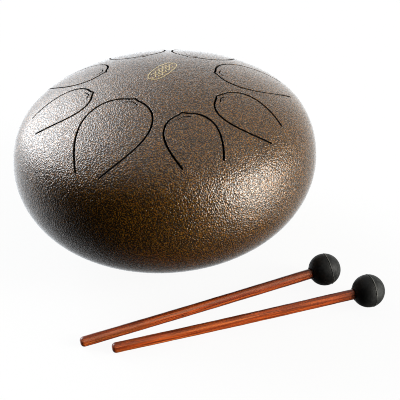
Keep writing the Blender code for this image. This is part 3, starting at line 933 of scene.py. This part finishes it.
def build_ornament():
    verts, faces = [], []
    cos_a, sin_a = math.cos(PRINT_ANGLE), math.sin(PRINT_ANGLE)
    turn = np.array([[cos_a, -sin_a], [sin_a, cos_a]])

    def stroke(along, across, width, closed):
        path = np.stack([along, across], 1) * PRINT_SCALE @ turn.T + PRINT_CENTRE
        ribbon(verts, faces, path, width * STROKE_SCALE, closed)

    cos_l, sin_l = unit_circle(120).T
    stroke(0.0155 * np.sign(cos_l) * np.abs(cos_l) ** 0.9,
           0.0064 * np.sign(sin_l) * np.abs(sin_l) ** 0.75, width=0.00055, closed=True)
    for offset, reach in ((-0.0028, 0.0098), (0.0, 0.0122), (0.0028, 0.0098)):
        along = np.linspace(-reach, reach, 70)
        wave = 0.00085 * np.sin(along / 0.0049 * 2 * math.pi)
        stroke(along, offset + wave, width=0.0006, closed=False)
    cos_r, sin_r = unit_circle(20).T
    for sign in (-1, 1):
        stroke(sign * 0.0138 + 0.0005 * cos_r, 0.0005 * sin_r, width=0.0005, closed=True)
    mesh = outward(mesh_from("drum_gold_ornament", verts, faces, GOLD, smooth=False))
    link("drum_gold_ornament", mesh, "drum")


# =====================================================================================
# Feet and their fasteners
# =====================================================================================
def foot_place(azimuth):
    """Frame on the lower skin under a foot, +Z pointing out of the bowl."""
    points, normals, _, across, _ = LOWER.frame([foot_centre(azimuth)])
    out, side = Vector(normals[0]), Vector(across[0])
    place = Matrix((side, out.cross(side), out)).transposed().to_4x4()
    place.translation = Vector(points[0])
    return place


def temp_object(name, verts, faces):
    thing = bpy.data.objects.new(name, outward(mesh_from(name, verts, faces)))
    bpy.context.scene.collection.objects.link(thing)
    return thing


def boolean(thing, tool, operation):
    """Apply a boolean with a tool object, and remove the tool."""
    modifier = thing.modifiers.new("b", "BOOLEAN")
    modifier.operation, modifier.solver = operation, "EXACT"
    modifier.object, modifier.use_self = tool, True
    bpy.context.view_layer.update()
    depsgraph = bpy.context.evaluated_depsgraph_get()
    mesh = bpy.data.meshes.new_from_object(thing.evaluated_get(depsgraph))
    thing.modifiers.clear()
    thing.data = mesh
    bpy.data.objects.remove(tool)


def take_zinc_mesh(thing, sharp_degrees):
    """Mesh of a temporary object, plated and shaded. The object goes."""
    mesh = thing.data
    bpy.data.objects.remove(thing)
    mesh.materials.clear()
    mesh.materials.append(ZINC)
    mesh.shade_smooth()
    return sharpen(mesh, sharp_degrees)


def foot_mesh(place):
    """Moulded bumper between the bowl's skin and the ground, with a screw recess."""
    top, seat, segments = 0.00025, FOOT_SEAT, 64
    # closed section, rows of (measured from, radius, height)
    rows = (
        ("skin", SCREW_HOLE_R, top), ("skin", 0.0072, top), ("skin", 0.0077, top + 0.0002),
        ("skin", 0.0080, top + 0.0008), ("skin", 0.0080, 0.0018), ("skin", 0.00785, 0.0026),
        ("ground", 0.0076, -0.0014), ("ground", 0.0075, -0.0007), ("ground", 0.00722, -0.00022),
        ("ground", 0.0067, 0.0), ("ground", 0.0052, 0.0), ("ground", 0.00485, -0.0001),
        ("ground", 0.0047, -0.0004), ("skin", 0.0047, seat + 0.0004),
        ("skin", 0.0045, seat + 0.0001), ("skin", 0.0042, seat), ("skin", SCREW_HOLE_R, seat),
    )
    world_z = place.to_3x3()[2]               # share of world Z in each axis of the foot

    def ground(x, y):
        return -(place.translation.z + world_z[0] * x + world_z[1] * y) / world_z[2]

    verts, faces = [], []
    for origin, radius, height in rows:
        for i in range(segments):
            angle = 2 * math.pi * i / segments
            x, y = radius * math.cos(angle), radius * math.sin(angle)
            verts.append((x, y, height if origin == "skin" else ground(x, y) + height))
    for row in range(len(rows)):
        here, after = row * segments, (row + 1) % len(rows) * segments
        for i in range(segments):
            j = (i + 1) % segments
            faces.append((here + i, here + j, after + j, after + i))
    return sharpen(outward(mesh_from("foot", verts, faces, FOOT)), 48)


def screw_mesh():
    """Cross-head screw with ring threads and a domed head."""
    thread_root, thread_crest, pitch = 0.00168, 0.00197, 0.0007
    seat, tail = SCREW_SEAT, SCREW_TAIL
    profile = [(0, tail), (0.00135, tail), (0.00165, tail + 0.0002)]
    z = tail + 0.0004
    while z < seat - 0.0012:
        profile += [(thread_root, z), (thread_crest, z + 0.00026), (thread_crest, z + 0.00034),
                    (thread_root, z + 0.0006)]
        z += pitch
    profile += [(0.00195, seat - 0.0004), (0.00195, seat), (0.0037, seat),
                (0.0039, seat + 0.0002), (0.0039, seat + 0.0007), (0.0037, seat + 0.0012),
                (0.0031, seat + 0.00172), (0.0021, seat + 0.00202), (0.0010, seat + 0.0021),
                (0, seat + 0.0021)]
    screw = temp_object("screw", *lathe(profile, 48))
    # the cross recess: two bars that taper to the bottom
    verts, faces = [], []
    for half_x, half_y in ((0.0023, 0.00048), (0.00048, 0.0023)):
        base = len(verts)
        for z, taper in ((seat + 0.0009, 0.72), (seat + 0.004, 1.0)):
            x, y = half_x * taper, half_y * taper
            verts += [(-x, -y, z), (x, -y, z), (x, y, z), (-x, y, z)]
        faces += [(base, base + 3, base + 2, base + 1), (base + 4, base + 5, base + 6, base + 7)]
        faces += [(base + i, base + (i + 1) % 4, base + 4 + (i + 1) % 4, base + 4 + i)
                  for i in range(4)]
    boolean(screw, temp_object("cross", verts, faces), "DIFFERENCE")
    return take_zinc_mesh(screw, 34)


def washer_mesh():
    top, bottom = WASHER_TOP, WASHER_TOP - WASHER_THICK
    inner, outer, bevel = SCREW_HOLE_R, 0.0045, 0.00012
    profile = [(inner, top - bevel), (inner + bevel, top), (outer - bevel, top),
               (outer, top - bevel), (outer, bottom + bevel), (outer - bevel, bottom),
               (inner + bevel, bottom), (inner, bottom + bevel)]
    return sharpen(outward(mesh_from("washer", *lathe(profile, 56, closed=True), ZINC)), 34)


def nut_mesh():
    """Hexagon nut with chamfered corners and a plain bore."""
    top, bottom = NUT_TOP, NUT_TOP - NUT_HEIGHT
    corner_r = 2 * NUT_HALF / math.sqrt(3)
    verts = [(corner_r * math.cos(math.pi / 3 * i), corner_r * math.sin(math.pi / 3 * i), z)
             for z in (bottom, top) for i in range(6)]
    faces = [tuple(range(5, -1, -1)), tuple(range(6, 12))]
    faces += [(i, (i + 1) % 6, 6 + (i + 1) % 6, 6 + i) for i in range(6)]
    nut = temp_object("nut", verts, faces)
    chamfer, face_r, barrel_r = 0.0006, NUT_HALF - 0.0001, corner_r + 0.0001
    barrel = [(0, bottom), (face_r, bottom), (barrel_r, bottom + chamfer),
              (barrel_r, top - chamfer), (face_r, top), (0, top)]
    boolean(nut, temp_object("barrel", *lathe(barrel, 60)), "INTERSECT")
    bore_r, mouth_r, mouth, over = 0.00215, 0.0026, 0.0005, 0.001
    bore = [(0, bottom - over), (mouth_r, bottom - over), (mouth_r, bottom),
            (bore_r, bottom + mouth), (bore_r, top - mouth), (mouth_r, top),
            (mouth_r, top + over), (0, top + over)]
    boolean(nut, temp_object("bore", *lathe(bore, 40)), "DIFFERENCE")
    return take_zinc_mesh(nut, 30)


def build_feet():
    fasteners = (("screw", screw_mesh()), ("washer", washer_mesh()), ("nut", nut_mesh()))
    for i, (label, azimuth) in enumerate(FEET):
        place = foot_place(azimuth)
        link("rubber_foot_" + label, foot_mesh(place), "drum",
             ["foot_" + label], place)
        spun = place @ Matrix.Rotation(math.radians(17 + 41 * i), 4, "Z")
        for kind, mesh in fasteners:
            link(f"{kind}_{label}", mesh.copy(), "drum",
                 [f"foot_{kind}_{label}"], spun)


# =====================================================================================
# Mallets: the origin is the ball's middle, the stick runs to -Z
# =====================================================================================
def mallet_place(mallet):
    """Frame of a mallet that rests on its ball and on the butt of its stick."""
    low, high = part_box(f"mallet_{mallet.seed}_head")
    reach = STICK_LENGTH - BUTT_ROUND
    tilt = math.asin(BALL_R / math.hypot(reach, BUTT_R)) - math.atan2(BUTT_R, reach)
    yaw = math.radians(mallet.yaw)
    along = Vector((math.cos(yaw) * math.cos(tilt), math.sin(yaw) * math.cos(tilt),
                    math.sin(tilt)))
    place = along.to_track_quat("Z", "Y").to_matrix().to_4x4()
    place.translation = Vector(((low.x + high.x) / 2, (low.y + high.y) / 2, BALL_R))
    return place


def stick_mesh(mallet, material, bow):
    """Turned stick with a rounded butt, bent along bow."""
    butt_points, steps, bow_start = 18, 150, 0.013
    phase = mallet.stick_phase

    def radius_at(z):
        share = min(1.0, max(0.0, (z + STICK_LENGTH) / STICK_LENGTH))
        return BUTT_R + (NECK_R - BUTT_R) * share

    profile = [(0.0, -STICK_LENGTH)]
    for i in range(1, butt_points + 1):
        turn = math.pi / 2 * i / butt_points
        profile.append((BUTT_R * math.sin(turn) ** 0.72,
                        -STICK_LENGTH + BUTT_ROUND * (1 - math.cos(turn)) ** 1.05))
    start, end = -STICK_LENGTH + BUTT_ROUND, TENON - 0.0006
    for i in range(1, steps + 1):
        z = start + (end - start) * i / steps
        profile.append((radius_at(z), z))
    profile += [(radius_at(TENON) - 0.0005, TENON - 0.0001),
                (radius_at(TENON) - 0.0008, TENON), (0.0, TENON)]

    def wobble(radius, z, angle):             # a turned stick is never quite straight or round
        fade = min(1.0, max(0.0, (z + STICK_LENGTH) / 0.01)) * (1 if z < -0.02 else 0)
        change = (0.000035 * math.sin(z * 190 + phase) + 0.00002 * math.sin(z * 520 + 2 * phase)
                  + 0.000025 * math.sin(2 * angle + phase + z * 30))
        return radius + change * fade, z

    verts, faces = lathe(profile, 48, wobble=wobble)
    verts = np.array(verts)
    run = np.clip((-bow_start - verts[:, 2]) / (STICK_LENGTH - bow_start), 0, 1)
    verts += np.sin(math.pi * run)[:, None] * np.array(bow)
    return sharpen(outward(mesh_from("stick", verts, faces, material)), 50)


def add_values(mesh, name, values):
    """Float attribute on the first points, 0 on the rest."""
    full = np.zeros(len(mesh.vertices), np.float32)
    full[:len(values)] = values
    mesh.attributes.new(name, "FLOAT", "POINT").data.foreach_set("value", full)


def ball_mesh(mallet, material, mould):
    """Rubber ball of two mould halves that met off square: a lip of flash, a pinched groove
    and a small step. mould is the axis the halves parted along."""
    segments, phase = 144, mallet.ball_phase
    bore = NECK_R + (BUTT_R - NECK_R) * BALL_R / STICK_LENGTH + 0.00012
    part = math.acos(mallet.parting)
    mouth = math.asin(bore / BALL_R)
    mouth_round, spread = 0.06, 0.19          # radians; spread has closer rows at the parting
    thetas = [*np.linspace(0, part - spread, 24),
              *np.linspace(part - spread, part + spread, 70)[1:],
              *np.linspace(part + spread, math.pi - mouth - mouth_round, 34)[1:]]
    profile = [(0.0, BALL_R)]
    profile += [(BALL_R * math.sin(theta), BALL_R * math.cos(theta)) for theta in thetas[1:]]
    count = 1 + (len(profile) - 1) * segments     # points on the ball's skin
    mouth_z = -BALL_R * math.cos(mouth)
    profile += [(bore + 0.0010, mouth_z + 0.00022), (bore + 0.00055, mouth_z + 0.00022),
                (bore + 0.0002, mouth_z + 0.00042), (bore, mouth_z + 0.0009),
                (bore, TENON + 0.0003), (0.0, TENON + 0.0003)]
    verts, faces = lathe(profile, segments)
    verts = np.array(verts)
    way = verts[:count] / np.linalg.norm(verts[:count], axis=1)[:, None]
    side = mould.orthogonal().normalized()
    turn = np.arctan2(way @ np.array(mould.cross(side)), way @ np.array(side))
    # height over the wavy parting line, in ball radii
    height = way @ np.array(mould) - mallet.parting
    height = (height + 0.010 * np.sin(2 * turn + phase) + 0.006 * np.sin(5 * turn + 2 * phase)
              + 0.003 * np.sin(13 * turn + phase))
    lip = np.exp(-((height - 0.010) / 0.026) ** 2)
    groove = np.exp(-((height + 0.034) / 0.016) ** 2)
    below = 0.5 - 0.5 * np.tanh(height / 0.010)
    wear = 1 + 0.35 * np.sin(3 * turn + phase) + 0.25 * np.sin(7 * turn)
    radius = (BALL_R * (0.9985 + 0.0010 * np.sin(3 * turn + phase) * (1 - height ** 2))
              + 0.00014 * lip * wear - 0.00018 * groove - 0.00008 * below)
    # round the mouth the relief dies away
    edge = np.clip((way[:, 2] + math.cos(mouth + mouth_round)) / 0.06, 0, 1)
    radius = radius * edge + BALL_R * 0.9985 * (1 - edge)
    verts[:count] = way * radius[:, None]
    mesh = sharpen(outward(mesh_from("ball", verts, faces, material)), 60)
    # seam is high on the paler lip and negative in the groove, where the rubber takes painted shade
    add_values(mesh, "seam", lip * wear - 0.7 * groove)
    # half marks the cap beyond the parting line, which the rubber paints lighter as its lit side
    add_values(mesh, "half", 1 - below)
    return mesh


def build_mallets():
    for mallet in MALLETS:
        label = "mallet_" + mallet.seed
        place = mallet_place(mallet)
        spun = place @ Matrix.Rotation(math.radians(mallet.spin), 4, "Z")
        to_local = spun.to_3x3().inverted()
        along = place.to_3x3() @ Vector((0, 0, 1))
        # the mould axis swings in the plane of the stick and the viewpoint
        to_eye = (CENTRE + EYE * DRUM_R - place.translation).normalized()
        square = (to_eye - along * to_eye.dot(along)).normalized()
        swing = math.radians(mallet.swing)
        mould = to_local @ (along * math.cos(swing) - square * math.sin(swing))
        bow = to_local @ Vector((along.y, -along.x, 0)).normalized() * mallet.bow
        # the side of the stick that the wood's colour paints darker as shade
        shaded_side = to_local @ SHADED_SIDE_WAY
        shaded_side.z = 0
        shaded_side.normalize()
        stick = stick_mesh(mallet, red_hardwood(mallet, shaded_side), bow)
        link(label + "_wood_stick", stick, label, [label + "_stick"], spun)
        ball = ball_mesh(mallet, ball_rubber(mallet), mould)
        link(label + "_rubber_ball", ball, label, [label + "_head"], spun)


# =====================================================================================
# Stage, light, camera
# =====================================================================================
FLOOR_HALF, FLOOR_Z = 4.0, -0.0002
FLOOR_GLOW, FLOOR_SHADE = 0.93, 0.07          # own light, and the share that takes shadow
BACKDROP = (0.93, 0.93, 0.93, 1)
COOL, WARM = (0.95, 1.0, 1.05, 1), (1.03, 1.0, 0.92, 1)
LIGHT_LEVEL = 0.81

# the studio as soft lobes of light: azimuth and elevation in degrees, tightness, strength
LOBES = (
    (180, -55, 4, 0.06),
    (-180, -25, 9, 1.72), (-135, -25, 9, 1.14), (45, -25, 9, 0.19),
    (90, -25, 9, 0.22), (135, -25, 9, 0.56),
    (-180, 5, 14, 0.66), (-150, 5, 14, 0.72), (150, 5, 14, 0.83),
    (-180, 60, 9, 0.40), (108, 60, 9, 0.84),
    (0, 88, 6, 0.11),
    (68, 4, 50, 9.76), (68, 22, 50, 25.12), (86, 4, 50, 1.87),
    (86, 22, 50, 1.52), (68, -12, 50, 9.82),
    (-145, 16, 45, 2.78), (-145, 30, 45, 6.28), (-128, 2, 45, 2.23), (-128, 16, 45, 11.72),
    (-128, 30, 45, 4.07), (-128, 44, 45, 4.26), (-111, 30, 45, 1.06),
)


def direction(azimuth, elevation):
    """Azimuth 0 points to the camera's side (-Y), 90 to +X."""
    around, rise = math.radians(azimuth), math.radians(elevation)
    return Vector((math.sin(around) * math.cos(rise), -math.cos(around) * math.cos(rise),
                   math.sin(rise)))


def build_floor():
    """Pale floor that only the camera sees, and only from above, with a faint contact shade."""
    mesh = bpy.data.meshes.new("floor")
    corners = [(-1, -1), (1, -1), (1, 1), (-1, 1)]
    mesh.from_pydata([(x * FLOOR_HALF, y * FLOOR_HALF, FLOOR_Z) for x, y in corners],
                     [], [(0, 1, 2, 3)])
    material, nodes, output = empty_material("pale_floor")
    ray = nodes.add("ShaderNodeLightPath")
    shade = {"Color": (FLOOR_SHADE, FLOOR_SHADE, FLOOR_SHADE, 1)}
    glow = {"Color": (1, 1, 1, 1), "Strength": FLOOR_GLOW}
    seen = nodes.add("ShaderNodeAddShader", {0: nodes.add("ShaderNodeBsdfDiffuse", shade),
                                             1: nodes.add("ShaderNodeEmission", glow)})
    past = nodes.add("ShaderNodeBsdfTransparent")
    under = nodes.add("ShaderNodeNewGeometry").outputs["Backfacing"]
    above = nodes.math("MULTIPLY", ray.outputs["Is Camera Ray"],
                       nodes.math("SUBTRACT", 1.0, under))
    nodes.put(output, {0: nodes.add("ShaderNodeMixShader", {0: above, 1: past, 2: seen})})
    mesh.materials.append(material)
    floor = bpy.data.objects.new("floor", mesh)
    bpy.context.scene.collection.objects.link(floor)


def build_world():
    """The lobes light the scene. The camera itself sees an even backdrop."""
    world = bpy.data.worlds.new("studio")
    bpy.context.scene.world = world
    world.use_nodes = True
    world.node_tree.nodes.clear()
    nodes = Nodes(world.node_tree)
    output = nodes.add("ShaderNodeOutputWorld")
    way = nodes.add("ShaderNodeTexCoord").outputs["Generated"]
    # lobes at positive azimuths, on the right, are warm and the rest are a touch cool
    cool_warm = [0.0, 0.0]
    for azimuth, elevation, tightness, strength in LOBES:
        facing = nodes.vector("DOT_PRODUCT", way, direction(azimuth, elevation))
        falloff = nodes.math("MULTIPLY_ADD", facing, tightness, -tightness)
        lobe = nodes.math("EXPONENT", falloff)
        side = int(azimuth > 0)
        cool_warm[side] = nodes.math("MULTIPLY_ADD", lobe, strength * LIGHT_LEVEL,
                                     cool_warm[side])
    cool, warm = [nodes.mix(1.0, nodes.grey(light), tint, "MULTIPLY")
                  for light, tint in zip(cool_warm, (COOL, WARM))]
    ray = nodes.add("ShaderNodeLightPath")
    glow = nodes.mix(ray.outputs["Is Camera Ray"], nodes.mix(1.0, cool, warm, "ADD"), BACKDROP)
    background = nodes.add("ShaderNodeBackground", {"Color": glow, "Strength": 1.0})
    nodes.put(output, {0: background})


def build_camera():
    lens = bpy.data.cameras.new("camera")
    lens.sensor_fit = "HORIZONTAL"
    lens.sensor_width = SENSOR_WIDTH
    lens.lens = FOCAL_LENGTH
    lens.clip_start, lens.clip_end = 0.01, 30
    camera = bpy.data.objects.new("camera", lens)
    bpy.context.scene.collection.objects.link(camera)
    forward = Vector((0, math.cos(PITCH_DOWN), -math.sin(PITCH_DOWN)))
    level_right = Vector((1, 0, 0))
    level_up = Vector((0, math.sin(PITCH_DOWN), math.cos(PITCH_DOWN)))
    right = level_right * math.cos(ROLL) + level_up * math.sin(ROLL)
    up = -level_right * math.sin(ROLL) + level_up * math.cos(ROLL)
    view = Matrix((right, up, -forward)).transposed().to_4x4()
    view.translation = CENTRE + EYE * DRUM_R
    camera.matrix_world = view
    bpy.context.scene.camera = camera


def set_render():
    scene = bpy.context.scene
    scene.view_settings.view_transform = "Standard"
    scene.cycles.filter_width = 1.0
    scene.cycles.use_denoising = True
    scene.cycles.denoising_input_passes = "RGB_ALBEDO_NORMAL"
    # a filtered guide would smear the paint's fine flecks
    scene.cycles.denoising_prefilter = "NONE"


build_upper()
build_lower()
build_weld()
build_ornament()
build_feet()
build_mallets()
build_floor()
build_world()
build_camera()
set_render()
